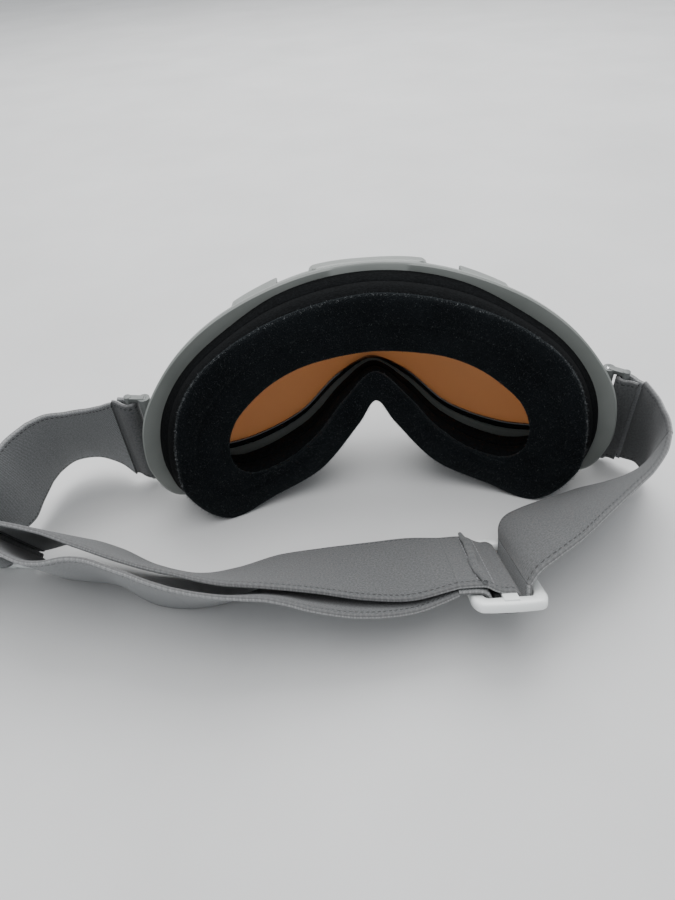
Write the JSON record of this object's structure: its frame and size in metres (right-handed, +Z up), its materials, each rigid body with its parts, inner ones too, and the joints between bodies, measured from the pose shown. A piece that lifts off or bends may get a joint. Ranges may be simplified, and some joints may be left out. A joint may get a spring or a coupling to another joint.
{
  "type": "ski goggles",
  "caption": "Ski goggles with a wrapped frame, a double lens, layered face foam, hinged strap anchors and a wide elastic strap with slider adjusters.",
  "frame": {"origin": "under the middle of the whole object's box, on the surface that it stands on", "axes": "+X to the wearer's right, +Y forwards through the lens, +Z up"},
  "size_m": [0.2642, 0.1248, 0.081],
  "materials": {
    "frame": "satin soft polyurethane",
    "lens": "orange-brown tinted polycarbonate",
    "spacer": "black closed-cell strip",
    "seal": "glossy black",
    "foam": "black open-cell foam",
    "fleece": "black fleece",
    "anchor": "matte moulded plastic",
    "pin": "drawn steel",
    "strap": "brushed elastic webbing",
    "slider": "white moulded plastic"
  },
  "bodies": {
    "goggles": {"frame": "frame", "outer_lens": "lens", "inner_lens": "lens", "lens_spacer": "spacer", "lens_rim_seal": "seal", "foam_base": "foam", "foam_middle": "foam", "face_fleece": "fleece", "top_vent_foam": "foam", "bottom_vent_foam_right": "foam", "bottom_vent_foam_left": "foam", "anchor_pin_left": "pin", "anchor_pin_right": "pin", "strap_left_front": "strap", "strap_left_side": "strap", "strap_inner": "strap", "strap_outer": "strap", "strap_right_front": "strap", "strap_right_side": "strap"},
    "left_anchor": {"strap_anchor_left": "anchor", "strap_left_anchor_loop": "strap"},
    "right_anchor": {"strap_anchor_right": "anchor", "strap_right_anchor_loop": "strap"},
    "left_adjuster": {"slider_left": "slider", "strap_outer_end_loop": "strap", "strap_left_thread": "strap"},
    "right_adjuster": {"slider_right": "slider", "strap_inner_end_loop": "strap", "strap_inner_fold": "strap", "strap_right_thread": "strap"}
  },
  "joints": [
    {"name": "left_anchor_hinge", "type": "hinge", "parent": "goggles", "child": "left_anchor", "pos_m": [-0.05425, 0.02606, 0.02323], "axis": [0, -0.0698, 0.9976], "range_deg": [-12, 48], "deforming": ["strap_left_front"]},
    {"name": "right_anchor_hinge", "type": "hinge", "parent": "goggles", "child": "right_anchor", "pos_m": [0.11535, 0.02606, 0.02323], "axis": [0, -0.0698, 0.9976], "range_deg": [-5, 55], "deforming": ["strap_right_front"]},
    {"name": "left_adjuster_slide", "type": "slide", "parent": "goggles", "child": "left_adjuster", "axis": [0.9816, -0.1908, 0], "range_m": [-0.006, 0.006], "deforming": ["strap_left_side", "strap_outer"]},
    {"name": "right_adjuster_slide", "type": "slide", "parent": "goggles", "child": "right_adjuster", "axis": [1, 0, 0], "range_m": [-0.006, 0.006], "deforming": ["strap_inner", "strap_right_side"]}
  ]
}
